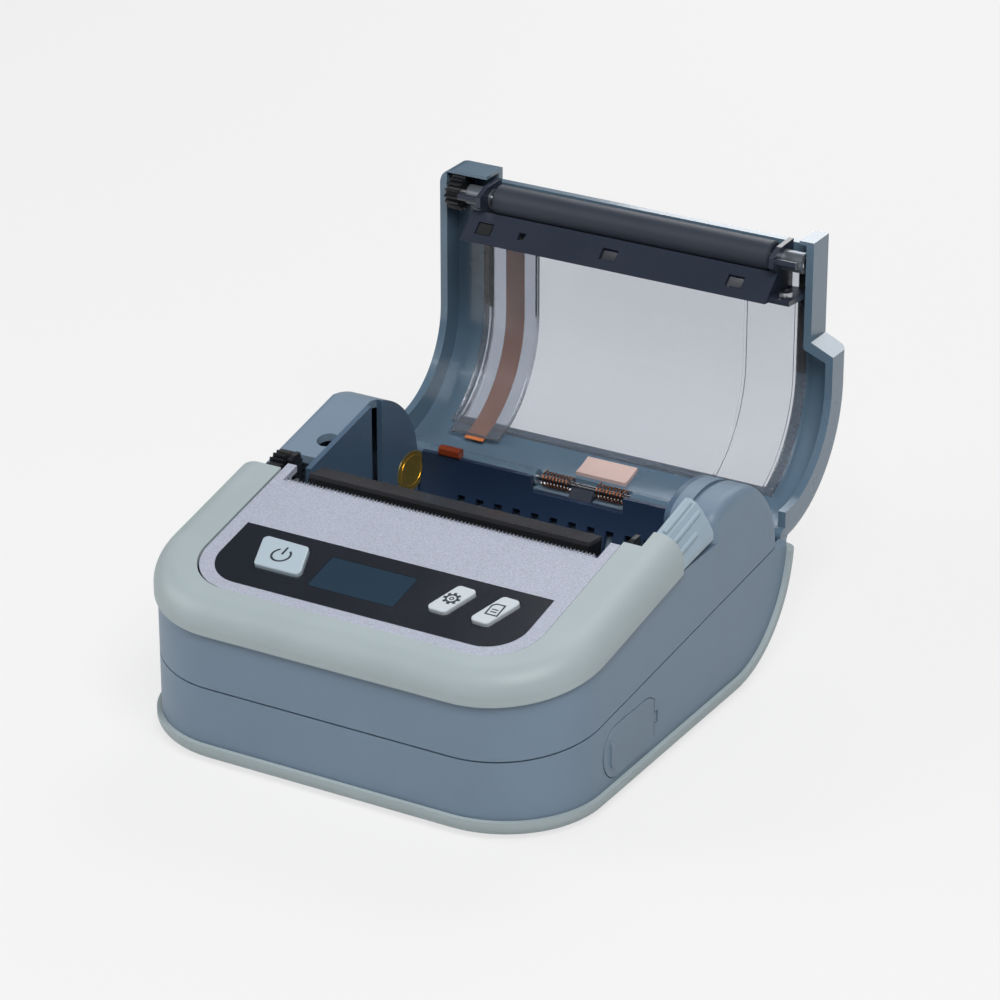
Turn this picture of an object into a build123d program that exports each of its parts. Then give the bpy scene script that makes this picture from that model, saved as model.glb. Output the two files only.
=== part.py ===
from build123d import *
import os
from math import acos, cos, pi, radians, sin, sqrt, tan

os.makedirs("parts", exist_ok=True)

# Portable label printer, lid open. X is the width, -Y the front, +Z up; millimetres.
# The origin is under the middle of the case, on the surface that the feet stand on.

# Case
half_width = 57.2
case_front = -60.0
case_rear = 61.0
corner_radius = 24.5
wall = 2.0
rim_flare = 1.2
rim_height = 4.0
foot_height = 0.8
skin = 1.5
rear_radius = 30.0
rear_centre_y = 31.0
rear_centre_z = foot_height + rear_radius
seam_front = 19.0
seam_slope = 6.2
bumper_front = 33.4
bumper_slope = 10.4
bumper_flare = 0.9

# Panel, which slopes up to the tear edge
panel_slope = 12.2
tear_y = -10.6
tear_z = 50.6
groove_half = 45.5
bay_half = 44.0
teeth_half = 42.0
panel_front = -52.5
panel_thickness = 1.6

# Roll bay, the ears beside it and the lid share one centre
roll_y = 29.5
roll_z = 31.0
bay_radius = 25.0
liner = 1.4
ear_radius = 23.0
ear_end_y = 52.4

# Hinge of the lid and the lid's own sizes
hinge_y = 59.0
hinge_z = 30.5
lid_radius = 31.5
lid_half = 55.4
lid_narrow_half = 49.3
lid_wall = 2.0
lid_depth = 8.0
lid_front = -4.2
lid_ear_front = -7.3
barrel_radius = 2.0
pin_radius = 0.9
running_gap = 0.05
clearance = 0.3

# Platen roller, in the lid
platen_y = -1.5
platen_z = 55.1
platen_radius = 4.0
shaft_radius = 1.5

big = 300.0


def seam_z(y):
    """Height of the parting line between the two case halves."""
    return seam_front + (y - case_front) * tan(radians(seam_slope))


def bumper_z(y):
    """Height of the top bumper's lower edge."""
    return bumper_front + (y - case_front) * tan(radians(bumper_slope))


def panel_z(y):
    """Height of the sloping panel's face."""
    return tear_z + (y - tear_y) * tan(radians(panel_slope))


def sloped(y, z, angle):
    """Plane that rises to the rear at the angle, with its normal up."""
    return Plane(origin=(0, y, z), x_dir=(1, 0, 0), z_dir=(0, -sin(radians(angle)), cos(radians(angle))))


def side(x):
    """Plane across the width: its own x is the part's Y, its own y is Z."""
    return Plane.YZ.offset(x)


def lid_side(x):
    """The same plane for lid pieces: drawn as if closed, placed as opened by a right angle."""
    return Plane(origin=(x, hinge_y - hinge_z, hinge_z + hinge_y), x_dir=(0, 0, -1), z_dir=(1, 0, 0))


def lid_top(z):
    """Plan plane for lid pieces at the closed height z: its own x is X, its own y is the closed Y."""
    return Plane(origin=(0, hinge_y + z - hinge_z, hinge_z + hinge_y), x_dir=(1, 0, 0), z_dir=(0, 1, 0))


panel_plane = sloped(tear_y, tear_z, panel_slope)


def on_panel(y):
    """Distance along the panel's slope from the tear edge to a point at depth y."""
    return (y - tear_y) / cos(radians(panel_slope))


# Plan outline of the case: two large round corners in front, square behind
def plan_sketch(half, front, rear, radius):
    with BuildSketch(mode=Mode.PRIVATE) as outline:
        with Locations((0, (front + rear) / 2)):
            Rectangle(2 * half, rear - front)
        fillet(outline.vertices().group_by(Axis.Y)[0], radius)
    return outline.sketch


# Side outline of the case: flat underside that rises round a large arc behind
def side_sketch(front, bottom, centre_y, centre_z, radius, top):
    with BuildSketch(mode=Mode.PRIVATE) as outline:
        with BuildLine():
            Polyline((centre_y + radius, centre_z), (centre_y + radius, top), (front, top),
                     (front, bottom), (centre_y, bottom))
            CenterArc((centre_y, centre_z), radius, -90, 90)
        make_face()
    return outline.sketch


def body_form(half, front, rear, corner, inset, top):
    """Solid inside the plan and side outlines, inset from the wrap's outer surface."""
    radius = rear_radius - inset
    with BuildPart(mode=Mode.PRIVATE) as form:
        with BuildSketch(Plane.XY.offset(foot_height + inset)):
            add(plan_sketch(half, front, rear, corner))
        extrude(amount=top - foot_height - inset)
        with BuildSketch(side(-big / 2)):
            add(side_sketch(front - 5, foot_height + inset, rear_centre_y, rear_centre_z, radius, top + 1))
        extrude(amount=big, mode=Mode.INTERSECT)
    return form.part


def below(y, z, angle):
    """Large block under a sloping plane."""
    with BuildPart(mode=Mode.PRIVATE) as block:
        with BuildSketch(sloped(y, z, angle)):
            Rectangle(big, big)
        extrude(amount=-big)
    return block.part


def above(y, z, angle):
    """Large block over a sloping plane."""
    with BuildPart(mode=Mode.PRIVATE) as block:
        with BuildSketch(sloped(y, z, angle)):
            Rectangle(big, big)
        extrude(amount=big)
    return block.part

def box(low, high):
    """Block between two corners."""
    with BuildPart(mode=Mode.PRIVATE) as block:
        with Locations(tuple((a + b) / 2 for a, b in zip(low, high))):
            Box(*[b - a for a, b in zip(low, high)])
    return block.part


def bar(y, z, radius, x_low, x_high):
    """Round bar along the width."""
    with BuildPart(mode=Mode.PRIVATE) as rod:
        with BuildSketch(side(x_low)):
            with Locations((y, z)):
                Circle(radius)
        extrude(amount=x_high - x_low)
    return rod.part


# Case halves and the soft wrap round the base
side_round = 3.0


def rounded_form(half, front, rear, corner, inset, top):
    """Body form whose long rear edges are rounded."""
    with BuildPart(mode=Mode.PRIVATE) as form:
        add(body_form(half, front, rear, corner, inset, top))
        fillet(form.edges().filter_by(
            lambda e: abs(abs(e.center().X) - half) < 0.1 and e.center().Y > rear_centre_y + 5), side_round)
    return form.part


case_top = 70.0
wrap_top = 28.0
case_solid = rounded_form(half_width, case_front, case_rear - skin, corner_radius, skin, case_top)
case_core = body_form(half_width - wall, case_front + wall, case_rear - skin - wall,
                      corner_radius - wall, skin + wall, case_top + 5)
wrap_solid = rounded_form(half_width + rim_flare, case_front - rim_flare, case_rear,
                          corner_radius + rim_flare, 0, wrap_top)
wrap_inside = body_form(half_width + 20, case_front - 30, case_rear, 1, rim_height, case_top)

foot_places = [(-42, -42), (42, -42), (-42, 20), (42, 20)]
foot_radius = 4.5
screw_places = [(-49, -30), (49, -30), (-49, 26), (49, 26)]
screw_head_radius = 2.6
screw_radius = 1.25
relief_radius = barrel_radius + clearance
pad_size = (50.0, 30.0)
# The wrap goes under the case and up behind it, with a rim that stands proud round the foot
with BuildPart() as base_bumper:
    add(wrap_solid)
    add(wrap_inside, mode=Mode.SUBTRACT)
    add(case_solid, mode=Mode.SUBTRACT)
    with Locations([(x, y, foot_height + 0.4) for x, y in foot_places]):
        Cylinder(foot_radius, 0.8, mode=Mode.SUBTRACT)
    with Locations([(x, y, foot_height + skin / 2) for x, y in screw_places]):
        Cylinder(screw_head_radius + 0.2, skin, mode=Mode.SUBTRACT)
    # low pad in the middle, level with the feet
    with BuildSketch():
        RectangleRounded(*pad_size, 3)
    extrude(amount=foot_height + skin / 2)
base_bumper.part.label = "base_bumper"
export_step(base_bumper.part, "parts/base_bumper.step")

with BuildPart() as feet:
    with Locations([(x, y, 0.8) for x, y in foot_places]):
        Cylinder(foot_radius, 1.6)
    fillet(feet.edges().group_by(Axis.Z)[0], 0.4)
feet.part.label = "feet"
export_step(feet.part, "parts/feet.step")

floor_top = foot_height + skin + wall
port_y = -21.0
port_z = 12.8
port_half = 13.0
cover_half_high = 6.5
port_depth = 1.2
knuckle_x = half_width - 0.5
knuckle_y = -9.2
knuckle_radius = 0.6
knuckle_low = port_z - 1.3
knuckle_high = port_z + 1.3
with BuildPart() as lower_case:
    add(case_solid)
    add(case_core, mode=Mode.SUBTRACT)
    add(above(case_front, seam_front, seam_slope), mode=Mode.SUBTRACT)
    add(box((-80, 56.7, 28.2), (80, 70, 40)), mode=Mode.SUBTRACT)
    add(box((-80, ear_end_y, 30.7), (80, 70, 40)), mode=Mode.SUBTRACT)
    add(bar(hinge_y, hinge_z, relief_radius, -80, 80), mode=Mode.SUBTRACT)
    with Locations([(x, y, floor_top + 4) for x, y in screw_places]):
        Cylinder(screw_head_radius, 10)
    with Locations([(x, y, foot_height + skin + 5) for x, y in screw_places]):
        Cylinder(screw_radius + 0.1, 14, mode=Mode.SUBTRACT)
    with Locations([(x, y, foot_height + skin + 0.8) for x, y in screw_places]):
        Cylinder(screw_head_radius - 0.3, 1.6, mode=Mode.SUBTRACT)
    # recess and opening for the data socket under its soft cover
    with BuildSketch(side(half_width - port_depth)):
        with Locations((port_y, port_z)):
            SlotOverall(2 * port_half + 0.4, 2 * cover_half_high + 0.4)
    extrude(amount=2, mode=Mode.SUBTRACT)
    with BuildSketch(side(half_width - 4)):
        with Locations((port_y, port_z)):
            RectangleRounded(9.6, 3.8, 1.8)
    extrude(amount=8, mode=Mode.SUBTRACT)
lower_case.part.label = "lower_case"
export_step(lower_case.part, "parts/lower_case.step")

with BuildPart() as case_screws:
    with Locations([(x, y, foot_height + skin + 0.7) for x, y in screw_places]):
        Cylinder(screw_head_radius - 0.5, 1.4)
    with Locations([(x, y, foot_height + skin + 5.4) for x, y in screw_places]):
        Cylinder(screw_radius, 8)
    with Locations([(x, y, foot_height + skin) for x, y in screw_places]):
        Box(2.6, 0.6, 1.2, mode=Mode.SUBTRACT)
        Box(0.6, 2.6, 1.2, mode=Mode.SUBTRACT)
case_screws.part.label = "case_screws"
export_step(case_screws.part, "parts/case_screws.step")

# Upper case: outer band, right ear, left block and the decks over both
arm_end_y = 1.8
ear_front_y = 18.2
deck_front = -7.0
deck_end = 82.0
ear_tail = -3.0


def on_ear(angle, radius):
    """Point of the ear's arc, by its angle from the rear."""
    return (roll_y + radius * cos(radians(angle)), roll_z + radius * sin(radians(angle)))


def deck_height(y):
    """Height of the left block's sloping deck, which runs into the ear's arc."""
    end_y, end_z = on_ear(deck_end, ear_radius)
    return end_z + (y - end_y) * tan(radians(panel_slope))


def band_profile(inset):
    """Side outline under the top bumper and the latch button."""
    with BuildSketch(mode=Mode.PRIVATE) as outline:
        with BuildLine():
            Polyline((40, -20), (-90, -20), (-90, bumper_z(-90) - inset),
                     (arm_end_y, bumper_z(arm_end_y) - inset), (40, bumper_z(arm_end_y) - inset), close=True)
        make_face()
    return outline.sketch


def right_profile(inset):
    """Side outline of the right ear."""
    radius = ear_radius - inset
    front = ear_front_y + inset
    crest = (front, roll_z + sqrt(radius ** 2 - (front - roll_y) ** 2))
    end = on_ear(ear_tail, radius)
    with BuildSketch(mode=Mode.PRIVATE) as outline:
        with BuildLine():
            Polyline(end, (end[0], -20), (front, -20), crest)
            ThreePointArc(crest, on_ear(60, radius), end)
        make_face()
        fillet(outline.vertices().sort_by_distance(crest)[0], 4.5 - inset)
    return outline.sketch


def left_profile(inset):
    """Side outline of the left block and ear."""
    radius = ear_radius - inset
    front = deck_front + inset
    start = on_ear(deck_end, radius)
    end = on_ear(ear_tail, radius)
    with BuildSketch(mode=Mode.PRIVATE) as outline:
        with BuildLine():
            Polyline(end, (end[0], -20), (front, -20), (front, deck_height(front) - inset), start)
            ThreePointArc(start, on_ear(45, radius), end)
        make_face()
    return outline.sketch


hole_y = 15.0
hole_x = -46.6
pocket = ((-52.5, -6.5, 38), (-45.3, 7.5, 60))
hook_slot = ((45.3, -4.5, 38), (48.0, 5.6, 60))
stem_slot = ((51.2, 9.6, 40), (54.8, 14.0, 46))
lug_low = 51.5
lug_high = 52.5
button_pin_y = 5.4
button_pin_z = 49.0
button_pin_radius = 0.7
platen_gear_teeth = 16
drive_teeth = 24
wheel_teeth = 24
pinion_teeth = 12
gear_module = 0.5
mesh_gap = 0.1


def pitch_radius(teeth):
    """Pitch radius of a gear."""
    return teeth * gear_module / 2


def placed(start, distance, angle):
    """Point at a distance from another, at an angle above the rear direction."""
    return (start[0] + distance * cos(radians(angle)), start[1] + distance * sin(radians(angle)))


drive_angle = -78.7
small_angle = -136.0
motor_angle = -100.0
drive_centre = placed((platen_y, platen_z), pitch_radius(platen_gear_teeth) + pitch_radius(drive_teeth) + mesh_gap,
                      drive_angle)
idler_centre = placed(drive_centre, pitch_radius(drive_teeth) + pitch_radius(pinion_teeth) + mesh_gap, small_angle)
motor_centre = placed(idler_centre, pitch_radius(wheel_teeth) + pitch_radius(pinion_teeth) + mesh_gap, motor_angle)
ear_round = 2.6
ear_groove = (49.0, 50.4)
ear_groove_depth = 1.0


def profile_block(profile, x_low, x_high):
    """Solid of a side outline between two places across the width."""
    with BuildPart(mode=Mode.PRIVATE) as block:
        with BuildSketch(side(x_low)):
            add(profile)
        extrude(amount=x_high - x_low)
    return block.part


def round_tops(block, x):
    """Block whose upper outer edge along the ear and the deck is rounded."""
    with BuildPart(mode=Mode.PRIVATE) as rounded:
        add(block)
        fillet(rounded.edges().filter_by(
            lambda e: abs(e.center().X - x) < 0.1 and e.center().Z > 45.5 and e.center().Y > 8), ear_round)
    return rounded.part


seam_gap = 0.45
seam_depth = 0.8
with BuildPart(mode=Mode.PRIVATE) as seam_ring:
    add(above(case_front, seam_front, seam_slope))
    add(below(case_front, seam_front + seam_gap, seam_slope), mode=Mode.INTERSECT)
    add(body_form(half_width - seam_depth, case_front + seam_depth, case_rear - skin - seam_depth,
                  corner_radius - seam_depth, skin + seam_depth, case_top + 5), mode=Mode.SUBTRACT)
seam_slot = seam_ring.part
cheek = 1.4
inner_half = bay_half + cheek
with BuildPart() as upper_case:
    add(round_tops(profile_block(right_profile(0), 0, half_width), half_width))
    add(round_tops(profile_block(left_profile(0), -half_width, 0), -half_width))
    add(profile_block(band_profile(0), -90, 90))
    add(case_solid, mode=Mode.INTERSECT)
    add(below(case_front, seam_front, seam_slope), mode=Mode.SUBTRACT)
    # hollow under the decks; the cheeks beside the roll are the bay's
    for block in (profile_block(right_profile(wall), inner_half, half_width - wall),
                  profile_block(left_profile(wall), wall - half_width, -inner_half),
                  profile_block(band_profile(wall), wall - half_width, half_width - wall)):
        add(block.intersect(case_core), mode=Mode.SUBTRACT)
    add(box((-inner_half, case_front + wall, -20), (inner_half, 90, 90)).intersect(case_core), mode=Mode.SUBTRACT)
    add(box((-inner_half, -20, -20), (inner_half, 90, 90)), mode=Mode.SUBTRACT)
    with BuildSketch(side(ear_groove[0])):
        add(right_profile(0))
        add(right_profile(ear_groove_depth), mode=Mode.SUBTRACT)
    extrude(amount=ear_groove[1] - ear_groove[0], mode=Mode.SUBTRACT)
    with Locations((hole_x, hole_y, 50)):
        Cylinder(2.7, 12, mode=Mode.SUBTRACT)
    add(box(*pocket), mode=Mode.SUBTRACT)
    add(bar(*idler_centre, pitch_radius(pinion_teeth) + 1.2, pocket[0][0], pocket[1][0]), mode=Mode.SUBTRACT)
    add(box(*hook_slot), mode=Mode.SUBTRACT)
    add(box(*stem_slot), mode=Mode.SUBTRACT)
    # lug that carries the latch button's pin
    floor_z = bumper_z(arm_end_y)
    with BuildSketch(side(lug_low)):
        with BuildLine():
            Polyline((button_pin_y - 1.5, button_pin_z), (button_pin_y - 1.5, floor_z - 1),
                     (button_pin_y + 2.4, floor_z - 1), (button_pin_y + 1.5, button_pin_z))
            ThreePointArc((button_pin_y + 1.5, button_pin_z), (button_pin_y, button_pin_z + 1.5),
                          (button_pin_y - 1.5, button_pin_z))
        make_face()
        with Locations((button_pin_y, button_pin_z)):
            Circle(button_pin_radius, mode=Mode.SUBTRACT)
    extrude(amount=lug_high - lug_low)
    add(seam_slot, mode=Mode.SUBTRACT)
upper_case.part.label = "upper_case"
export_step(upper_case.part, "parts/upper_case.step")

# Top bumper round the panel
frame_half = 50.0
frame_depth = 3.0
left_arm_end = -7.4


def panel_sketch(half, front, rear, radius):
    """Outline on the sloping panel, square behind and rounded in front."""
    low = on_panel(front)
    high = on_panel(rear)
    with BuildSketch(mode=Mode.PRIVATE) as outline:
        with Locations((0, (low + high) / 2)):
            Rectangle(2 * half, high - low)
        fillet(outline.vertices().group_by(Axis.Y)[0], radius)
    return outline.sketch


def panel_block(sketch, low, high):
    """Solid on the panel's slope between two depths measured from its face."""
    with BuildPart(mode=Mode.PRIVATE) as block:
        with BuildSketch(panel_plane.offset(low)):
            add(sketch)
        extrude(amount=high - low)
    return block.part


bumper_round = 6.0
bumper_rise = 0.35
groove = 0.35
panel_corner = 13.0
frame_plan = panel_sketch(frame_half, case_front + 6, tear_y - 1.5, 12.0)
with BuildPart() as top_bumper:
    with BuildSketch():
        add(plan_sketch(half_width + bumper_flare, case_front - bumper_flare, 10, corner_radius + bumper_flare))
    extrude(amount=70)
    add(below(case_front, bumper_front, bumper_slope), mode=Mode.SUBTRACT)
    add(above(tear_y, tear_z + bumper_rise, panel_slope), mode=Mode.SUBTRACT)
    upper_face = top_bumper.faces().filter_by(lambda f: f.normal_at().Z > 0.9)[0]
    rim = upper_face.edges().filter_by(lambda e: e.center().Y < 9)
    fillet(rim, bumper_round)
    add(panel_block(panel_sketch(groove_half, panel_front, 30, panel_corner), -30, 5), mode=Mode.SUBTRACT)
    add(box((0, arm_end_y, 0), (90, 20, 90)), mode=Mode.SUBTRACT)
    add(box((-90, left_arm_end, 0), (0, 20, 90)), mode=Mode.SUBTRACT)
    add(box((0, -4.0, 0), (50.2, 20, 90)), mode=Mode.SUBTRACT)
    add(panel_block(frame_plan, -panel_thickness - frame_depth, -panel_thickness), mode=Mode.SUBTRACT)
top_bumper.part.label = "top_bumper"
export_step(top_bumper.part, "parts/top_bumper.step")

# Buttons and display, as places on the panel: rear left, rear right, front right, front left
power_corners = [(-34.3, -31.9), (-21.6, -32.3), (-17.9, -42.3), (-30.6, -42.3)]
settings_corners = [(18.6, -32.1), (24.0, -32.4), (20.6, -42.2), (15.2, -41.9)]
feed_corners = [(30.2, -32.0), (35.4, -32.3), (31.8, -42.4), (26.6, -42.1)]
display_corners = [(-15.0, -32.8), (7.9, -32.8), (7.9, -43.9), (-15.0, -43.9)]
button_round = 1.3
button_gap = 0.3
button_rise = 0.9
button_travel = 0.6


def cap_sketch(corners, grow, radius):
    """Rounded outline on the panel through the corners, grown on all sides."""
    with BuildSketch(mode=Mode.PRIVATE) as outline:
        with BuildLine():
            Polyline(*[(x, on_panel(y)) for x, y in corners], close=True)
        make_face()
        if grow:
            offset(amount=grow, kind=Kind.INTERSECTION)
        fillet(outline.vertices(), radius)
    return outline.sketch


all_corners = {"power_button": power_corners, "settings_button": settings_corners, "feed_button": feed_corners}
overlay_depth = 0.4
overlay_half = 41.2
overlay_plan = panel_sketch(overlay_half, -49.2, -28.4, 9.5)
with BuildPart() as control_overlay:
    add(panel_block(overlay_plan, -overlay_depth, 0.05))
    for corners in all_corners.values():
        add(panel_block(cap_sketch(corners, button_gap, button_round + button_gap), -5, 5), mode=Mode.SUBTRACT)
    add(panel_block(cap_sketch(display_corners, 0.1, 0.8), -5, 5), mode=Mode.SUBTRACT)
control_overlay.part.label = "control_overlay"
export_step(control_overlay.part, "parts/control_overlay.step")

# Display: a glass flush with the overlay, on its module
with BuildPart() as display_glass:
    add(panel_block(cap_sketch(display_corners, 0, 0.7), -1.0, 0.05))
display_glass.part.label = "display_glass"
export_step(display_glass.part, "parts/display_glass.step")

with BuildPart() as display_module:
    add(panel_block(cap_sketch(display_corners, 0.8, 0.6), -3.6, -1.0))
display_module.part.label = "display_module"
export_step(display_module.part, "parts/display_module.step")

blade_thickness = 0.5
blade_rise = 0.75
blade_depth = 6.5
tooth_pitch = 1.0
tooth_depth = 0.8
with BuildPart() as front_panel:
    add(panel_block(panel_sketch(groove_half - groove, panel_front + groove, tear_y - blade_thickness, panel_corner),
                    -panel_thickness, 0))
    add(box((-teeth_half - 0.6, tear_y - blade_thickness, 40), (teeth_half + 0.6, 0, 60)), mode=Mode.SUBTRACT)
    for sign in (-1, 1):
        inner = teeth_half + 0.6
        outer = groove_half - groove
        add(box((min(sign * inner, sign * outer), -14, 30), (max(sign * inner, sign * outer), -4.9, 60)).intersect(
            panel_block(panel_sketch(90, -60, 20, 1), -panel_thickness, 0)))
    add(panel_block(overlay_plan, -overlay_depth, 5), mode=Mode.SUBTRACT)
    for corners in all_corners.values():
        add(panel_block(cap_sketch(corners, button_gap, button_round + button_gap), -5, 5), mode=Mode.SUBTRACT)
    add(panel_block(cap_sketch(display_corners, 1.0, 0.7), -5, 5), mode=Mode.SUBTRACT)
front_panel.part.label = "front_panel"
export_step(front_panel.part, "parts/front_panel.step")

# Frame under the panel, on four posts from the case floor
post_places = [(-26, -48), (26, -48), (-38, -20.5), (38, -20.5)]
with BuildPart() as panel_frame:
    add(panel_block(frame_plan, -panel_thickness - frame_depth + 1.2, -panel_thickness))
    for x, y in post_places:
        with BuildSketch(Plane.XY.offset(floor_top)):
            with Locations((x, y)):
                Circle(2.6)
        extrude(until=Until.NEXT)
    for corners in all_corners.values():
        add(panel_block(cap_sketch(corners, button_gap, button_round + button_gap), -8, 5), mode=Mode.SUBTRACT)
    add(panel_block(cap_sketch(display_corners, 1.0, 0.7), -8, 5), mode=Mode.SUBTRACT)
panel_frame.part.label = "panel_frame"
export_step(panel_frame.part, "parts/panel_frame.step")

# Serrated tear blade behind the panel
with BuildPart() as tear_bar:
    with BuildSketch(Plane.XZ.offset(-tear_y)):
        with BuildLine():
            count = round(2 * teeth_half / tooth_pitch)
            tip = tear_z + blade_rise
            teeth = []
            for i in range(count):
                left = -teeth_half + i * tooth_pitch
                teeth += [(left, tip - tooth_depth), (left + tooth_pitch / 2, tip)]
            Polyline(*teeth, (teeth_half, tip - tooth_depth), (teeth_half, tip - blade_depth),
                     (-teeth_half, tip - blade_depth), close=True)
        make_face()
    extrude(amount=blade_thickness)
tear_bar.part.label = "tear_bar"
export_step(tear_bar.part, "parts/tear_bar.step")

# Three push buttons on the slope, each over a switch on the key board
stem_depth = 5.6
board_top = 7.4
for name, corners in all_corners.items():
    with BuildPart() as button:
        add(panel_block(cap_sketch(corners, 0, button_round), -3.4, button_rise))
        fillet(button.faces().sort_by(Axis.Z)[-1].edges(), 0.35)
        middle = (sum(x for x, y in corners) / 4, on_panel(sum(y for x, y in corners) / 4))
        with BuildSketch(panel_plane.offset(-stem_depth)):
            with Locations(middle):
                Circle(1.6)
        extrude(amount=3)
    button.part.label = name
    export_step(button.part, "parts/" + name + ".step")

with BuildPart() as key_board:
    add(panel_block(panel_sketch(40, -46, -30, 3), -board_top - 1.2, -board_top))
key_board.part.label = "key_board"
export_step(key_board.part, "parts/key_board.step")

with BuildPart() as key_switches:
    for corners in all_corners.values():
        middle = (sum(x for x, y in corners) / 4, on_panel(sum(y for x, y in corners) / 4))
        with BuildSketch(panel_plane.offset(-board_top)):
            with Locations(middle):
                Rectangle(4.5, 4.5)
        extrude(amount=board_top - stem_depth - button_travel - 0.25)
key_switches.part.label = "key_switches"
export_step(key_switches.part, "parts/key_switches.step")

# Roll bay: trough under the label roll, with a cheek at each end
bay_rear_top = 32.4
bay_front_top = 40.0
vent_pitch = 5.3
vent_count = 13
vent_z = 21.0
vent_size = (2.2, 12, 4.6)
slot_front = 31.0
slot_rear = 35.6
pocket_low = -12.5
pocket_high = 13.5
with BuildPart() as roll_bay:
    with BuildSketch(side(-bay_half)):
        with BuildLine():
            outer = bay_radius + liner
            Polyline((roll_y + bay_radius, roll_z), (roll_y + bay_radius, bay_rear_top),
                     (roll_y + outer, bay_rear_top), (roll_y + outer, roll_z))
            ThreePointArc((roll_y + outer, roll_z), (roll_y, roll_z - outer), (roll_y - outer, roll_z))
            Polyline((roll_y - outer, roll_z), (roll_y - outer, bay_front_top),
                     (roll_y - bay_radius, bay_front_top), (roll_y - bay_radius, roll_z))
            ThreePointArc((roll_y - bay_radius, roll_z), (roll_y, roll_z - bay_radius), (roll_y + bay_radius, roll_z))
        make_face()
    extrude(amount=2 * bay_half)
    with Locations([(vent_pitch * (i - (vent_count - 1) / 2), roll_y + 22, vent_z) for i in range(vent_count)]):
        Box(*vent_size, mode=Mode.SUBTRACT)
    add(box((pocket_low, 50, 28.4), (pocket_high, 60, 40)), mode=Mode.SUBTRACT)
roll_bay.part.label = "roll_bay"
export_step(roll_bay.part, "parts/roll_bay.step")

for name, low, profile in (("left_cheek", -inner_half, left_profile(0)),
                           ("right_cheek", bay_half, right_profile(0))):
    with BuildPart() as bay_cheek:
        with BuildSketch(side(low)):
            with Locations((roll_y, roll_z)):
                Circle(outer)
            with Locations((roll_y, roll_z + 20)):
                Rectangle(2 * outer, 40)
            add(profile, mode=Mode.INTERSECT)
        extrude(amount=cheek)
        if name == "left_cheek":
            add(box((-inner_half - 1, slot_front, 20), (-bay_half + 1, slot_rear, 60)), mode=Mode.SUBTRACT)
    bay_cheek.part.label = name
    export_step(bay_cheek.part, "parts/" + name + ".step")

# Hinge: pin in a cradle of the bay, with a spring on each side of it
pin_low = -19.0
pin_high = 20.0
bracket_front = roll_y + bay_radius + liner
bracket_rear = 56.7
cradle_low = -2.6
cradle_high = 3.6
with BuildPart() as hinge_bracket:
    with BuildSketch(side(cradle_low)):
        with BuildLine():
            Polyline((bracket_front, 25.6), (bracket_rear, 25.6), (bracket_rear, 28.3),
                     (hinge_y + 1.0, 28.5), (hinge_y + 1.6, hinge_z), (hinge_y - 1.6, hinge_z),
                     (bracket_front, 28.4), close=True)
        make_face()
    extrude(amount=cradle_high - cradle_low)
    with BuildSketch(side(pocket_low)):
        with BuildLine():
            Polyline((bracket_front, 25.6), (bracket_front, 28.2), (bracket_rear, 28.2), (bracket_rear, 25.6),
                     close=True)
        make_face()
    extrude(amount=pocket_high - pocket_low)
    add(bar(hinge_y, hinge_z, pin_radius, -90, 90), mode=Mode.SUBTRACT)
hinge_bracket.part.label = "hinge_bracket"
export_step(hinge_bracket.part, "parts/hinge_bracket.step")

with BuildPart() as hinge_pin:
    add(bar(hinge_y, hinge_z, pin_radius, pin_low, pin_high))
    chamfer(hinge_pin.edges(), 0.2)
hinge_pin.part.label = "hinge_pin"
export_step(hinge_pin.part, "parts/hinge_pin.step")

# Torsion springs round the pin, open coils of fine wire
spring_wire = 0.45
spring_turns = 8
spring_pitch = 0.95
coil_radius = 1.75


def coil(x_low, turns, pitch, radius, wire):
    """Coil along the width round the hinge axis, with a straight tail at each end."""
    with BuildPart(mode=Mode.PRIVATE) as wound:
        with BuildLine():
            turn = Helix(pitch=pitch, height=pitch * turns, radius=radius, center=(x_low, hinge_y, hinge_z),
                         direction=(1, 0, 0))
        with BuildSketch(Plane(origin=turn @ 0, z_dir=turn % 0)):
            Circle(wire / 2)
        sweep(path=turn)
        for end, way in ((turn @ 0, -(turn % 0)), (turn @ 1, turn % 1)):
            with BuildSketch(Plane(origin=end, z_dir=way)):
                Circle(wire / 2)
            extrude(amount=1.6)
    return wound.part


for name, low in (("hinge_spring_left", cradle_low - 0.7 - spring_turns * spring_pitch),
                  ("hinge_spring_right", cradle_high + 0.7)):
    spring = coil(low, spring_turns, spring_pitch, coil_radius, spring_wire)
    spring.label = name
    export_step(spring, "parts/" + name + ".step")
    print(name, "least gap between turns", round(spring_pitch - spring_wire, 2), spring.bounding_box())

# Lid frame, drawn closed on lid planes
window_half = 43.0
window_angle = 29.0
window_front = 1.5
lid_step_y = 18.6
lid_top_z = roll_z + lid_radius


def lid_band(outer, inner, front):
    """Side outline of a band of the lid between two radii, straight on top, down to the hinge."""
    with BuildSketch(mode=Mode.PRIVATE) as outline:
        with BuildLine():
            Polyline((roll_y + inner, roll_z), (roll_y + outer, roll_z))
            ThreePointArc((roll_y + outer, roll_z), (roll_y + outer * cos(pi / 4), roll_z + outer * sin(pi / 4)),
                          (roll_y, roll_z + outer))
            Polyline((roll_y, roll_z + outer), (front, roll_z + outer), (front, roll_z + inner),
                     (roll_y, roll_z + inner))
            ThreePointArc((roll_y, roll_z + inner), (roll_y + inner * cos(pi / 4), roll_z + inner * sin(pi / 4)),
                          (roll_y + inner, roll_z))
        make_face()
    return outline.sketch


def lid_block(sketch, x_low, x_high):
    """Solid of a closed side outline, placed as opened."""
    with BuildPart(mode=Mode.PRIVATE) as block:
        with BuildSketch(lid_side(x_low)):
            add(sketch)
        extrude(amount=x_high - x_low)
    return block.part


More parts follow.
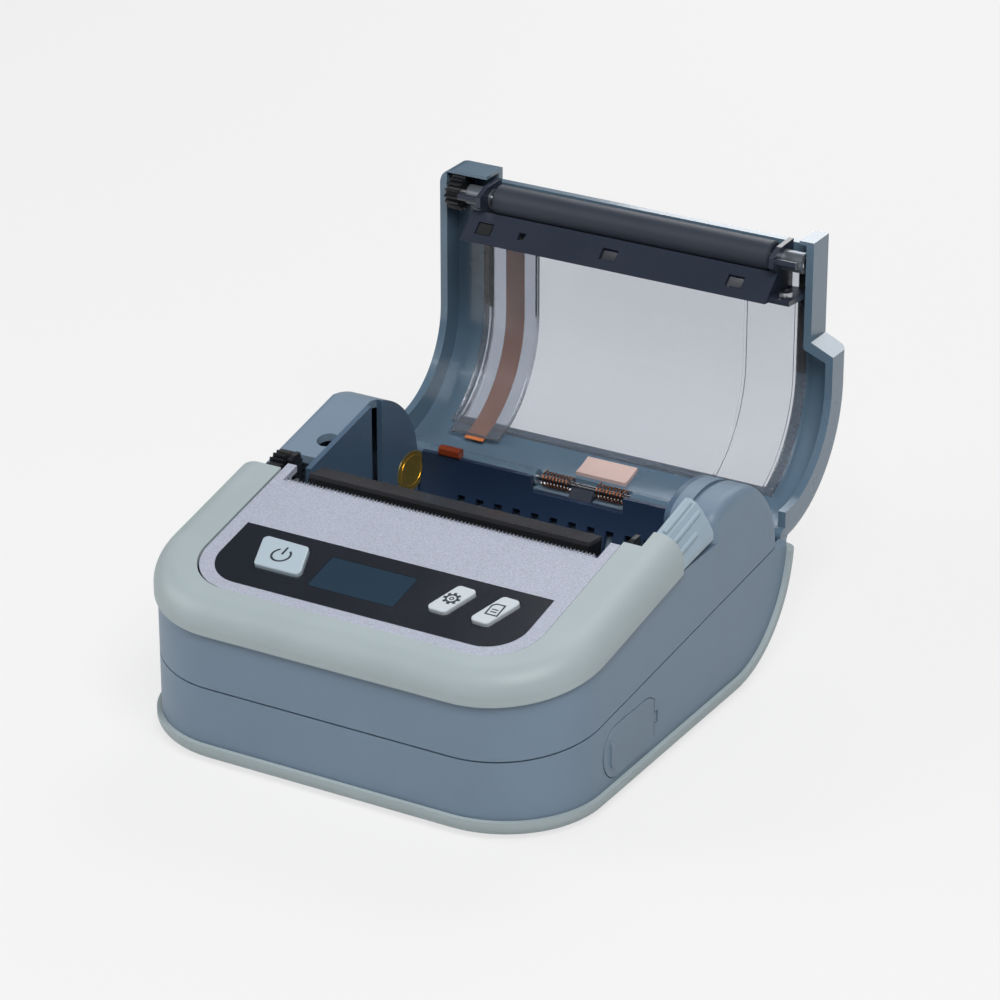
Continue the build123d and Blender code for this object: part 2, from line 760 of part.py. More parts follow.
def lid_box(low, high):
    """Block between two corners of the closed lid, placed as opened."""
    with BuildPart(mode=Mode.PRIVATE) as block:
        with BuildSketch(lid_top(low[2])):
            with Locations(((low[0] + high[0]) / 2, (low[1] + high[1]) / 2)):
                Rectangle(high[0] - low[0], high[1] - low[1])
        extrude(amount=high[2] - low[2])
    return block.part


lid_inner = lid_radius - lid_wall
band_inner = lid_radius - lid_depth
step_cut = [(lid_narrow_half, lid_step_y - 0.2), (lid_half + 1, lid_step_y + 3), (lid_half + 1, -40),
            (lid_narrow_half, -40)]
pocket_gap = 0.4
edge_round = 2.2
ear_wall = 0.9
ear_inner = (-41.8, 45.4)
ear_corner = 4.0
with BuildPart() as lid_frame:
    add(lid_block(lid_band(lid_radius, band_inner, lid_ear_front), -lid_half, lid_half))
    fillet(lid_frame.edges().filter_by(
        lambda e: abs(abs(e.center().X) - lid_half) < 0.1 and e.length > 20
        and (e.center().Y > hinge_y + lid_top_z - hinge_z - 0.1 or e.length > 1.5 * lid_inner)), edge_round)
    # the right front corner is stepped in beside the latch button
    with BuildSketch(lid_top(0)):
        Polygon(*step_cut, align=None)
    extrude(amount=90, mode=Mode.SUBTRACT)
    # hollow between the walls
    add(lid_block(lid_band(lid_inner, band_inner - 5, lid_ear_front + ear_wall),
                  -lid_half + lid_wall, lid_narrow_half - lid_wall), mode=Mode.SUBTRACT)
    with BuildSketch(lid_top(0)):
        Polygon((lid_narrow_half - lid_wall - 1, lid_step_y + lid_wall - 0.4),
                (lid_half - lid_wall, lid_step_y + lid_wall + 2.4), (lid_half - lid_wall, 90),
                (lid_narrow_half - lid_wall - 1, 90), align=None)
    wide = extrude(amount=90, mode=Mode.PRIVATE)
    add(wide.intersect(lid_block(lid_band(lid_inner, band_inner - 5, -50), 0, lid_half - lid_wall)),
        mode=Mode.SUBTRACT)
    # front edge stands back between the two ears
    add(lid_box((ear_inner[0], -40, 40), (ear_inner[1], lid_front, 80)), mode=Mode.SUBTRACT)
    with BuildSketch(lid_top(0)) as lid_plan:
        with Locations((0, lid_ear_front + 60)):
            Rectangle(2 * lid_half, 120)
        fillet(lid_plan.vertices().group_by(Axis.Y)[0].sort_by(Axis.X)[0], ear_corner)
    extrude(amount=90, mode=Mode.INTERSECT)
    # barrel round the hinge pin, open where the springs are
    add(bar(hinge_y, hinge_z, barrel_radius, -lid_half, lid_half))
    add(bar(hinge_y, hinge_z, barrel_radius + 1.8, pocket_low - pocket_gap, pocket_high + pocket_gap),
        mode=Mode.SUBTRACT)
    add(bar(hinge_y, hinge_z, pin_radius + running_gap, pin_low - 0.4, pin_high + 0.4), mode=Mode.SUBTRACT)


def lid_sector(outer, inner, low_angle, front):
    """Side outline of a strip of the lid from an angle above the hinge to a place near the front."""
    turn = radians((low_angle + 90) / 2)
    start = radians(low_angle)
    with BuildSketch(mode=Mode.PRIVATE) as outline:
        with BuildLine():
            Line((roll_y + inner * cos(start), roll_z + inner * sin(start)),
                 (roll_y + outer * cos(start), roll_z + outer * sin(start)))
            ThreePointArc((roll_y + outer * cos(start), roll_z + outer * sin(start)),
                          (roll_y + outer * cos(turn), roll_z + outer * sin(turn)), (roll_y, roll_z + outer))
            Polyline((roll_y, roll_z + outer), (front, roll_z + outer), (front, roll_z + inner),
                     (roll_y, roll_z + inner))
            ThreePointArc((roll_y, roll_z + inner), (roll_y + inner * cos(turn), roll_z + inner * sin(turn)),
                          (roll_y + inner * cos(start), roll_z + inner * sin(start)))
        make_face()
    return outline.sketch


sheet = 1.2
sheet_inner = lid_inner - sheet
ledge = 2.4
window_fit = 0.15
with BuildPart() as lid_opening:
    add(lid_block(lid_sector(lid_radius + 5, sheet_inner, window_angle, window_front), -window_half, window_half))
with lid_frame:
    add(lid_opening.part, mode=Mode.SUBTRACT)
lid_frame.part.label = "lid_frame"
export_step(lid_frame.part, "parts/lid_frame.step")

# Clear window: a sheet behind the opening with a raised middle that fills it
rib_half = 29.2
with BuildPart() as lid_window:
    add(lid_block(lid_sector(lid_radius - 0.2, sheet_inner, window_angle + 0.4, window_front + window_fit),
                  -window_half + window_fit, window_half - window_fit))
    add(lid_block(lid_sector(lid_inner, sheet_inner, window_angle - 4, window_front + window_fit),
                  -window_half - ledge, window_half + ledge))
    for x in (rib_half, window_half):
        add(lid_block(lid_sector(sheet_inner, sheet_inner - 0.5, window_angle - 4, window_front + 9), x - 0.4, x + 0.4))
lid_window.part.label = "lid_window"
export_step(lid_window.part, "parts/lid_window.step")

flex_low = -38.6
flex_high = -33.3
flex_angle = 14.0
flex_front = 3.0
flex_thickness = 0.25
with BuildPart() as flex_cable:
    add(lid_block(lid_sector(sheet_inner - 0.05, sheet_inner - 0.05 - flex_thickness, flex_angle, flex_front),
                  flex_low, flex_high))
flex_cable.part.label = "flex_cable"
export_step(flex_cable.part, "parts/flex_cable.step")

cover_outer = sheet_inner - 0.4
with BuildPart() as flex_cover:
    add(lid_block(lid_sector(cover_outer, cover_outer - 0.9, flex_angle + 2, flex_front + 6), -window_half, -rib_half))
    for x in (-window_half, -rib_half - 0.8):
        add(lid_block(lid_sector(sheet_inner, cover_outer - 0.9, flex_angle + 12, flex_front + 6), x, x + 0.8))
flex_cover.part.label = "flex_cover"
export_step(flex_cover.part, "parts/flex_cover.step")

pad_thickness = 1.0
pad_low_angle = 9
pad_high_angle = 22
pad_low = -5.0
pad_high = 9.0
with BuildPart() as lid_pad:
    add(lid_block(lid_sector(lid_inner, lid_inner - pad_thickness, pad_low_angle, 29), pad_low, pad_high))
    add(lid_block(lid_sector(60, 5, pad_high_angle, -50), -50, 50), mode=Mode.SUBTRACT)
lid_pad.part.label = "lid_pad"
export_step(lid_pad.part, "parts/lid_pad.step")

with BuildPart() as flex_clamp:
    with BuildSketch(side(flex_low - 0.3)):
        with Locations((roll_y + bay_radius + 0.7, bay_rear_top + 1.2)):
            RectangleRounded(2.4, 2.4, 0.7)
    extrude(amount=flex_high - flex_low + 0.6)
flex_clamp.part.label = "flex_clamp"
export_step(flex_clamp.part, "parts/flex_clamp.step")


# Platen roller and its bracket, drawn closed
def lid_bar(y, z, radius, x_low, x_high):
    """Round bar along the width at a closed place, placed as opened."""
    with BuildPart(mode=Mode.PRIVATE) as rod:
        with BuildSketch(lid_side(x_low)):
            with Locations((y, z)):
                Circle(radius)
        extrude(amount=x_high - x_low)
    return rod.part


def lid_shape(points, x_low, x_high):
    """Solid of a closed polygon across the width, placed as opened."""
    with BuildPart(mode=Mode.PRIVATE) as block:
        with BuildSketch(lid_side(x_low)):
            Polygon(*points, align=None)
        extrude(amount=x_high - x_low)
    return block.part


sheet_z = roll_z + sheet_inner
bushing_radius = 2.6
rubber_half = 38.6
plate_inner = 40.2
plate_outer = 41.5
face_low = -43.8
stub_y = -2.6
stub_z = 49.8
stub_radius = 0.9
hook_low = 45.7
hook_high = 46.9
bracket_face = [(0.7, 51.15), (6.5, 44.5), (8.0, sheet_z), (6.8, sheet_z), (5.75, 47.2), (1.7, 51.9)]
plate_outline = [(8.0, sheet_z), (6.5, 44.5), (0.7, 51.15), (-1.2, 48.6), (-3.8, 48.6), (-5.4, 52.6), (-5.6, sheet_z)]
tab_outline = [(6.7, 46.4), (8.0, sheet_z), (6.8, sheet_z), (5.4, 46.4)]
tab_high = 47.0
bracket_holes = [(-38.5, 4.4), (-27.8, 2.0), (-3.2, 4.4), (31.6, 4.4)]
face_top, face_foot = bracket_face[0], bracket_face[1]
face_plane = Plane(origin=(0, face_top[1] + hinge_y - hinge_z, hinge_z + hinge_y - face_top[0]), x_dir=(1, 0, 0),
                   z_dir=(0, face_top[0] - face_foot[0], face_top[1] - face_foot[1]))
tab_screw = (44.4, 49.6)
with BuildPart() as platen_bracket:
    add(lid_shape(bracket_face, face_low, plate_outer))
    add(lid_shape(plate_outline, -plate_outer, -plate_inner))
    add(lid_shape(plate_outline, plate_inner, plate_outer))
    add(lid_shape(tab_outline, plate_inner, tab_high))
    for sign in (-1, 1):
        add(lid_bar(stub_y, stub_z, stub_radius, min(sign * plate_inner, sign * (hook_high + 0.2)),
                    max(sign * plate_inner, sign * (hook_high + 0.2))))
    add(lid_bar(platen_y, platen_z, bushing_radius, -plate_outer - 1, plate_outer + 1), mode=Mode.SUBTRACT)
    for x, size in bracket_holes:
        with BuildSketch(face_plane):
            with Locations((x, -4.6)):
                Rectangle(size, min(size, 3.4))
        extrude(amount=3, both=True, mode=Mode.SUBTRACT)
    add(lid_box((flex_low - 0.4, -10, sheet_z - 0.7), (flex_high + 0.4, 20, sheet_z + 5)), mode=Mode.SUBTRACT)
platen_bracket.part.label = "platen_bracket"
export_step(platen_bracket.part, "parts/platen_bracket.step")

with BuildPart() as platen_bushings:
    for low, high in ((-hook_high, -plate_inner + 0.2), (plate_inner - 0.2, 46.9)):
        add(lid_bar(platen_y, platen_z, bushing_radius, low, high))
    add(lid_bar(platen_y, platen_z, shaft_radius + running_gap, -big, big), mode=Mode.SUBTRACT)
platen_bushings.part.label = "platen_bushings"
export_step(platen_bushings.part, "parts/platen_bushings.step")

gear_low = -52.0
gear_high = -48.2
with BuildPart() as platen_shaft:
    add(lid_bar(platen_y, platen_z, shaft_radius, gear_low - 0.6, 47.0))
    chamfer(platen_shaft.edges(), 0.3)
platen_shaft.part.label = "platen_shaft"
export_step(platen_shaft.part, "parts/platen_shaft.step")

with BuildPart() as platen_rubber:
    add(lid_bar(platen_y, platen_z, platen_radius, -rubber_half, rubber_half))
    chamfer(platen_rubber.edges(), 0.4)
    add(lid_bar(platen_y, platen_z, shaft_radius, -big, big), mode=Mode.SUBTRACT)
platen_rubber.part.label = "platen_rubber"
export_step(platen_rubber.part, "parts/platen_rubber.step")

# The tab's screw and two that hold the bracket to the lid
with BuildPart() as bracket_screws:
    with BuildSketch(Plane(origin=(tab_screw[0], tab_screw[1] + hinge_y - hinge_z, hinge_z + hinge_y - 5.35),
                           x_dir=(1, 0, 0), z_dir=(0, 0, 1))):
        Circle(1.9)
    extrude(amount=1.2)
    with BuildSketch(Plane(origin=(tab_screw[0], tab_screw[1] + hinge_y - hinge_z, hinge_z + hinge_y - 4.15),
                           x_dir=(1, 0, 0), z_dir=(0, 0, 1))):
        Rectangle(2.4, 0.5)
        Rectangle(0.5, 2.4)
    extrude(amount=-0.6, mode=Mode.SUBTRACT)
bracket_screws.part.label = "bracket_screws"
export_step(bracket_screws.part, "parts/bracket_screws.step")

# Gap sensor in the first square hole of the bracket
with BuildPart() as lid_sensor:
    with BuildSketch(face_plane.offset(-1.4)):
        with Locations((bracket_holes[0][0], -4.6)):
            Rectangle(3.8, 3.0)
    extrude(amount=1.2)
lid_sensor.part.label = "lid_sensor"
export_step(lid_sensor.part, "parts/lid_sensor.step")


# Gears with short involute teeth
def gear_points(teeth, start):
    """Corner points of a gear outline, with one tooth centred at the start angle."""
    pitch_r = pitch_radius(teeth)
    base_r = pitch_r * cos(radians(20))
    tip_r = pitch_r + 0.8 * gear_module
    root_r = pitch_r - 1.05 * gear_module
    flank = tan(radians(20)) - radians(20)
    half_tooth = (pi * gear_module / 2 - tooth_play) / (2 * pitch_r) + flank
    points = []
    for i in range(teeth):
        middle = radians(start) + 2 * pi * i / teeth
        rising = []
        for r in (root_r, max(base_r, root_r) + 0.02, (pitch_r + base_r) / 2 + 0.1, (pitch_r + tip_r) / 2, tip_r):
            turned = acos(min(1.0, base_r / r))
            rising.append((r, half_tooth - (tan(turned) - turned)))
        points += [(r * cos(middle - a), r * sin(middle - a)) for r, a in rising]
        points += [(r * cos(middle + a), r * sin(middle + a)) for r, a in reversed(rising)]
    return points


def gear_block(teeth, start, centre, bore, x_low, x_high):
    """Gear along the width, with a round bore."""
    with BuildPart(mode=Mode.PRIVATE) as wheel:
        with BuildSketch(side(x_low)):
            with Locations(centre):
                Polygon(*gear_points(teeth, start), align=None)
                Circle(bore, mode=Mode.SUBTRACT)
        extrude(amount=x_high - x_low)
    return wheel.part


tooth_play = 0.12
post_radius = 0.9
hub_radius = 2.2
plate_low = -44.7
plate_high = -43.9
wheel_low = -43.6
wheel_high = -42.4
drive_start = drive_angle + 180
# turn of the drive gear's nearest tooth to the small idler gear
drive_pitch = 360 / drive_teeth
offset_teeth = round((small_angle - drive_start) / drive_pitch)
tooth_error = small_angle - (drive_start + offset_teeth * drive_pitch)
idler_start = small_angle + 180 + 180 / pinion_teeth + tooth_error * drive_teeth / pinion_teeth
wheel_start = motor_angle
motor_start = motor_angle + 180 + 180 / pinion_teeth
platen_start = drive_angle + 180 / platen_gear_teeth

with BuildPart() as platen_gear:
    with BuildSketch(lid_side(gear_low)):
        with Locations((platen_y, platen_z)):
            Polygon(*gear_points(platen_gear_teeth, platen_start), align=None)
            Circle(shaft_radius, mode=Mode.SUBTRACT)
    extrude(amount=gear_high - gear_low)
platen_gear.part.label = "platen_gear"
export_step(platen_gear.part, "parts/platen_gear.step")

with BuildPart() as drive_gear:
    add(gear_block(drive_teeth, drive_start, drive_centre, post_radius + running_gap, gear_low, gear_high))
    with BuildSketch(side(gear_low)):
        with Locations(drive_centre):
            Circle(hub_radius + 2.6)
            Circle(hub_radius, mode=Mode.SUBTRACT)
    extrude(amount=0.8, mode=Mode.SUBTRACT)
drive_gear.part.label = "drive_gear"
export_step(drive_gear.part, "parts/drive_gear.step")

with BuildPart() as idler_gear:
    add(gear_block(pinion_teeth, idler_start, idler_centre, post_radius + running_gap, gear_low, gear_high))
    add(bar(*idler_centre, hub_radius, gear_high, wheel_low))
    add(bar(*idler_centre, post_radius + running_gap, gear_low, wheel_high + 1), mode=Mode.SUBTRACT)
    add(gear_block(wheel_teeth, wheel_start, idler_centre, post_radius + running_gap, wheel_low, wheel_high))
idler_gear.part.label = "idler_gear"
export_step(idler_gear.part, "parts/idler_gear.step")

latch_centre = (1.5, 41.0)
latch_radius = 1.1
motor_shaft = 0.75
with BuildPart() as motor_pinion:
    add(gear_block(pinion_teeth, motor_start, motor_centre, motor_shaft, wheel_low, wheel_high))
    add(bar(*motor_centre, motor_shaft, wheel_low, -40.0))
motor_pinion.part.label = "motor_pinion"
export_step(motor_pinion.part, "parts/motor_pinion.step")

motor_radius = 8.0
motor_low = -41.5
motor_high = -26.0
with BuildPart() as stepper_motor:
    add(bar(*motor_centre, motor_radius, motor_low, motor_high))
    chamfer(stepper_motor.edges(), 0.5)
    add(bar(*motor_centre, motor_shaft + running_gap, motor_low - 1, motor_low + 2.6), mode=Mode.SUBTRACT)
    # flange by which it hangs on the gear plate
    with BuildSketch(side(motor_low)):
        with Locations(motor_centre):
            SlotOverall(19.4, 5)
            Circle(motor_shaft + running_gap, mode=Mode.SUBTRACT)
    extrude(amount=0.8)
stepper_motor.part.label = "stepper_motor"
export_step(stepper_motor.part, "parts/stepper_motor.step")

plate_points = [(-17.5, floor_top), (-1.0, floor_top), (2.4, 16.0), (2.4, 40.0), (-2.2, 47.0), (-9.0, 47.0), (-17.5, 41.0)]
with BuildPart() as gear_plate:
    with BuildSketch(side(plate_low)):
        Polygon(*plate_points, align=None)
        with Locations(idler_centre):
            Circle(hub_radius + 0.3, mode=Mode.SUBTRACT)
        with Locations(latch_centre):
            Circle(latch_radius + 0.5, mode=Mode.SUBTRACT)
    extrude(amount=plate_high - plate_low)
    # sleeves that reach from the plate to the motor's flange
    for shift in (-8.0, 8.0):
        add(bar(motor_centre[0] + shift, motor_centre[1], 1.2, plate_high, motor_low))
gear_plate.part.label = "gear_plate"
export_step(gear_plate.part, "parts/gear_plate.step")

with BuildPart() as gear_posts:
    add(bar(*drive_centre, post_radius, pocket[0][0], gear_high + 0.4))
    add(bar(*idler_centre, post_radius, wall - half_width, wheel_high + 0.2))
    add(bar(*idler_centre, post_radius + 0.9, wall - half_width, gear_low - 0.3))
gear_posts.part.label = "gear_posts"
export_step(gear_posts.part, "parts/gear_posts.step")

# Print head under the platen, with its heat sink
head_half = 38.0
contact_angle = radians(262)
contact_way = (cos(contact_angle), sin(contact_angle))
contact = (platen_y + (platen_radius + clearance) * contact_way[0],
           platen_z + (platen_radius + clearance) * contact_way[1])


def by_head(along, out):
    """Point beside the contact line: along the head towards the roll, and out towards the case."""
    return (contact[0] - along * contact_way[1] + out * contact_way[0],
            contact[1] + along * contact_way[0] + out * contact_way[1])


head_thickness = 1.0
sink_depth = 4.4
with BuildPart() as print_head:
    with BuildSketch(side(-head_half)):
        Polygon(by_head(-4.6, 0), by_head(1.6, 0), by_head(1.6, head_thickness), by_head(-4.6, head_thickness),
                align=None)
    extrude(amount=2 * head_half)
print_head.part.label = "print_head"
export_step(print_head.part, "parts/print_head.step")

fin_pitch = 4.0
with BuildPart() as head_heatsink:
    with BuildSketch(side(-head_half)):
        Polygon(by_head(-5.0, head_thickness), by_head(1.6, head_thickness), by_head(1.6, sink_depth),
                by_head(-5.0, sink_depth), align=None)
    extrude(amount=2 * head_half)
    for i in range(1, round(2 * head_half / fin_pitch)):
        with BuildSketch(side(-head_half + i * fin_pitch - 0.7)):
            Polygon(by_head(-9.0, 2.4), by_head(6.0, 2.4), by_head(6.0, 9.0), by_head(-9.0, 9.0), align=None)
        extrude(amount=1.4, mode=Mode.SUBTRACT)
head_heatsink.part.label = "head_heatsink"
export_step(head_heatsink.part, "parts/head_heatsink.step")

# Latch: a shaft across the case with a hook at each end, turned by a push button on the right
hook_outline = [(2.7, 41.0), (1.5, 52.1), (-1.0, 52.1), (-2.5, 51.5), (-2.5, 50.95), (-1.4, 50.95), (-1.2, 47.0),
                (0.3, 41.0)]
lever_low = 52.0
lever_high = 54.0
lever_reach = 13.2
with BuildPart() as latch_hooks:
    add(bar(*latch_centre, latch_radius, -hook_high, lever_high + 0.4))
    for sign in (-1, 1):
        with BuildSketch(side(min(sign * hook_low, sign * hook_high))):
            Polygon(*hook_outline, align=None)
            with Locations(latch_centre):
                Circle(latch_radius + 0.5)
        extrude(amount=hook_high - hook_low)
    with BuildSketch(side(lever_low)):
        with Locations(((latch_centre[0] + lever_reach) / 2, latch_centre[1] - 0.2)):
            Rectangle(lever_reach - latch_centre[0], 1.2)
    extrude(amount=lever_high - lever_low)
latch_hooks.part.label = "latch_hooks"
export_step(latch_hooks.part, "parts/latch_hooks.step")

button_front = 2.2
button_rear = 17.4
button_slope = 13.1
button_profile = [(50.0, 40.0), (50.0, 52.5), (51.4, 52.6), (52.9, 51.9), (54.5, 50.3), (56.1, 48.0), (57.3, 45.8),
                  (57.5, 45.0), (57.5, 40.0)]
rib_places = [(51.8, 52.35, 12.6), (54.2, 50.55, 12.6), (55.9, 48.25, 8.0)]
shell = 1.3
rib_radius = 0.65
button_way = (0, cos(radians(button_slope)), sin(radians(button_slope)))


def along_button(start_y, end_y, inset):
    """Solid of the latch button's outline between two depths, inset from its outside."""
    with BuildPart(mode=Mode.PRIVATE) as block:
        rise = (start_y - button_front) * tan(radians(button_slope))
        with BuildSketch(Plane.XZ.offset(-start_y)):
            with Locations((0, rise)):
                Polygon(*button_profile, align=None)
            if inset:
                offset(amount=-inset)
        extrude(amount=(end_y - start_y) / button_way[1], dir=button_way)
    return block.part


with BuildPart() as latch_button:
    add(along_button(button_front, button_rear, 0))
    for x, z, length in rib_places:
        with BuildSketch(Plane.XZ.offset(-button_front - 1.6)):
            with Locations((x, z + 1.6 * tan(radians(button_slope)))):
                Circle(rib_radius)
        extrude(amount=length, dir=button_way)
    add(along_button(button_front + shell, button_rear - shell, shell), mode=Mode.SUBTRACT)
    add(bar(button_pin_y, button_pin_z, 1.5, 50.6, lug_low - 0.25))
    add(bar(button_pin_y, button_pin_z, 1.5, lug_high + 0.25, 54.0))
    add(box((lever_low, 11.0, 41.8), (lever_high, 12.6, 51.5)))
    add(box((50.0, 2.0, 38), (60, 10.9, 50)).intersect(below(button_front, 45.2, 7.2)), mode=Mode.SUBTRACT)
    add(box((50.0, 12.7, 38), (60, 20, 50)).intersect(below(button_front, 45.2, 7.2)), mode=Mode.SUBTRACT)
    for low, high in ((49.5, lever_low - 0.001), (lever_high + 0.001, 60)):
        add(box((low, 10.8, 38), (high, 12.8, 50)).intersect(below(button_front, 45.2, 7.2)), mode=Mode.SUBTRACT)
    add(bar(button_pin_y, button_pin_z, button_pin_radius + running_gap, 50.6, 54.5), mode=Mode.SUBTRACT)
latch_button.part.label = "latch_button"
export_step(latch_button.part, "parts/latch_button.step")

with BuildPart() as latch_pin:
    add(bar(button_pin_y, button_pin_z, button_pin_radius, 50.7, 53.9))
latch_pin.part.label = "latch_pin"
export_step(latch_pin.part, "parts/latch_pin.step")

# Battery, circuit boards and data socket in front of the bay
with BuildPart() as battery_pack:
    with Locations((0, -33, floor_top + 9)):
        Box(62, 22, 18)
    fillet(battery_pack.edges().filter_by(Axis.X), 2.5)
battery_pack.part.label = "battery_pack"
export_step(battery_pack.part, "parts/battery_pack.step")

board_y = -18.4
board_thickness = 1.6
chips = [(-20, 26, 12, 12), (2, 20, 9, 7), (20, 28, 14, 5), (18, 14, 5, 5), (-4, 34, 5, 3)]
with BuildPart() as main_board:
    add(box((-34, board_y, floor_top), (34, board_y + board_thickness, 38)))
    for x, z, width, height in chips:
        add(box((x - width / 2, board_y - 1.2, z - height / 2), (x + width / 2, board_y, z + height / 2)))
main_board.part.label = "main_board"
export_step(main_board.part, "parts/main_board.step")

socket_half = 4.5
with BuildPart() as usb_port:
    with BuildSketch(side(47.5)):
        with Locations((port_y, port_z)):
            RectangleRounded(2 * socket_half, 3.3, 1.6)
            RectangleRounded(2 * socket_half - 0.8, 2.5, 1.2, mode=Mode.SUBTRACT)
    extrude(amount=8.0)
    with BuildSketch(side(47.5)):
        with Locations((port_y, port_z)):
            RectangleRounded(2 * socket_half, 3.3, 1.6)
    extrude(amount=1.0)
    add(box((48.0, port_y - 3.2, port_z - 0.35), (54.6, port_y + 3.2, port_z + 0.35)))
usb_port.part.label = "usb_port"
export_step(usb_port.part, "parts/usb_port.step")

with BuildPart() as usb_board:
    add(box((43.5, port_y - 6, port_z - 2.85), (53.5, port_y + 4.8, port_z - 1.65)))
    add(box((45.5, port_y - 4.4, floor_top), (51.5, port_y + 4.4, port_z - 2.85)))
usb_board.part.label = "usb_board"
export_step(usb_board.part, "parts/usb_board.step")

# Soft cover over the socket: its fixed end holds a knuckle that the rest turns on
cover_end = -10.3
cover_skin = 1.1
with BuildPart() as cover_form:
    with BuildSketch(side(half_width - cover_skin)):
        with Locations((port_y, port_z)):
            SlotOverall(2 * port_half, 2 * cover_half_high)
    extrude(amount=cover_skin + 0.2)

with BuildPart() as port_cover:
    add(cover_form.part)
    add(box((50, cover_end, 0), (60, 0, 30)), mode=Mode.SUBTRACT)
    with BuildSketch(side(half_width + 0.2)):
        with Locations((port_y - port_half + 3.6, port_z)):
            SlotOverall(6.4, 1.2, rotation=90)
    extrude(amount=0.5)
    with BuildSketch(side(half_width - 2.6)):
        with Locations((port_y, port_z)):
            RectangleRounded(7.4, 1.9, 0.9)
    extrude(amount=1.6)
    with BuildSketch(Plane.XY.offset(knuckle_low)):
        with Locations((knuckle_x, knuckle_y)):
            Circle(knuckle_radius)
        with Locations((knuckle_x, (knuckle_y + cover_end) / 2 - 0.1)):
            Rectangle(0.7, knuckle_y - cover_end + 0.2)
    extrude(amount=knuckle_high - knuckle_low)
port_cover.part.label = "port_cover"
export_step(port_cover.part, "parts/port_cover.step")

with BuildPart() as port_anchor:
    add(cover_form.part)
    add(box((50, -60, 0), (60, cover_end + 0.3, 30)), mode=Mode.SUBTRACT)
    with BuildSketch(Plane.XY.offset(knuckle_low - 0.3)):
        with Locations((knuckle_x, knuckle_y)):
            Circle(knuckle_radius + running_gap)
        with Locations((knuckle_x + 1, knuckle_y - 0.2)):
            Rectangle(2, 2 * knuckle_radius + 0.8)
        with Locations((knuckle_x, cover_end)):
            Rectangle(3, 1.6)
    extrude(amount=knuckle_high - knuckle_low + 0.6, mode=Mode.SUBTRACT)
port_anchor.part.label = "port_anchor"
export_step(port_anchor.part, "parts/port_anchor.step")

with BuildPart() as paper_sensor:
    add(box((-6, roll_y - bay_radius - liner, bay_front_top), (6, roll_y - bay_radius, bay_front_top + 1.4)))
paper_sensor.part.label = "paper_sensor"
export_step(paper_sensor.part, "parts/paper_sensor.step")

# Oval seal on the left cheek of the bay
seal_place = (49.3, 28.8)
with BuildPart() as gold_seal:
    with BuildSketch(side(-bay_half)):
        with Locations(seal_place):
            Ellipse(6.6, 5.3, rotation=-12)
        with Locations((roll_y, roll_z)):
            Circle(bay_radius - 0.2, mode=Mode.INTERSECT)
    extrude(amount=0.12)
gold_seal.part.label = "gold_seal"
export_step(gold_seal.part, "parts/gold_seal.step")
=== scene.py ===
import bpy
import bmesh
from math import cos, pi, radians, sin
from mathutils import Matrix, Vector


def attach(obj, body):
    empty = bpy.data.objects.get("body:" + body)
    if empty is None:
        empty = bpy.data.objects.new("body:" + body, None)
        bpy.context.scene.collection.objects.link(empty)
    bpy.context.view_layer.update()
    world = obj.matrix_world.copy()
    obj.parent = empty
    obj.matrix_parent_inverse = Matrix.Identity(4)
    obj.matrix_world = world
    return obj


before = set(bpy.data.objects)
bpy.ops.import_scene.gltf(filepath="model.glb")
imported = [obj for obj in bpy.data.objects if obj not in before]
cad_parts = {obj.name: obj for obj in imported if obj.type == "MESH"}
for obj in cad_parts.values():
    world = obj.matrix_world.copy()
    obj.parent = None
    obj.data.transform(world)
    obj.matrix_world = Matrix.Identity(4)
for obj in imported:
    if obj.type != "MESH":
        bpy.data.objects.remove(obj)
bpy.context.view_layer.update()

mm = 0.001
scene = bpy.context.scene
print("stage: frame loaded")


# Colours and shader groups
def linear(red, green, blue):
    channels = []
    for value in (red, green, blue):
        value = value / 255
        channels.append(value / 12.92 if value <= 0.04045 else ((value + 0.055) / 1.055) ** 2.4)
    return (*channels, 1.0)


def addSocket(group, name, direction, kind, default=None):
    socket = group.interface.new_socket(name=name, in_out=direction, socket_type=kind)
    if default is not None:
        socket.default_value = default
    return socket


def addMath(nodes, operation):
    # a math node set to one operation
    node = nodes.new("ShaderNodeMath")
    node.operation = operation
    return node


def addScale(nodes):
    # a colour or vector multiplied by one value
    node = nodes.new("ShaderNodeVectorMath")
    node.operation = "SCALE"
    return node


